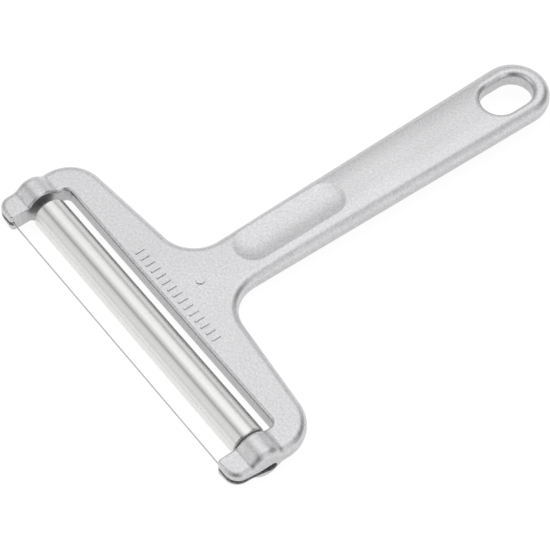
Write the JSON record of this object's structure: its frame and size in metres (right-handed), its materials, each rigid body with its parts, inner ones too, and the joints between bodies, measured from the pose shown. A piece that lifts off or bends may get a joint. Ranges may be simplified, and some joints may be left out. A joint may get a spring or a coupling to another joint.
{
  "type": "cheese wire cutter",
  "caption": "Die-cast aluminium cheese slicer with a stretched cutting wire, a turned roller ahead of it as depth guide, and a flat handle with a hanging hole.",
  "frame": {"origin": "middle of the outline, on the plane that touches the lowest points of the two bosses", "axes": "+X along the roller, +Y from the cutting wire to the hanging hole, +Z out of the marked side of the casting"},
  "size_m": [0.134, 0.18, 0.013],
  "materials": {
    "cast_aluminium": "bead-blasted die casting, matt silver",
    "turned_stainless": "turned and brushed",
    "axle_steel": "drawn bright",
    "bush_plastic": "moulded, matt dark grey",
    "wire_stainless": "drawn bright",
    "barrel_steel": "crimped, dull"
  },
  "bodies": {
    "frame_body": {"frame": "cast_aluminium", "roller_axle": "axle_steel", "cutting_wire": "wire_stainless", "wire_barrel_left": "barrel_steel", "wire_barrel_right": "barrel_steel"},
    "roller_body": {"roller_tube": "turned_stainless", "roller_bush_left": "bush_plastic", "roller_bush_right": "bush_plastic"}
  },
  "joints": [
    {"name": "roller_spin", "type": "hinge", "parent": "frame_body", "child": "roller_body", "pos_m": [0, -0.0771, 0.0065], "axis": [1, 0, 0], "continuous": true}
  ]
}
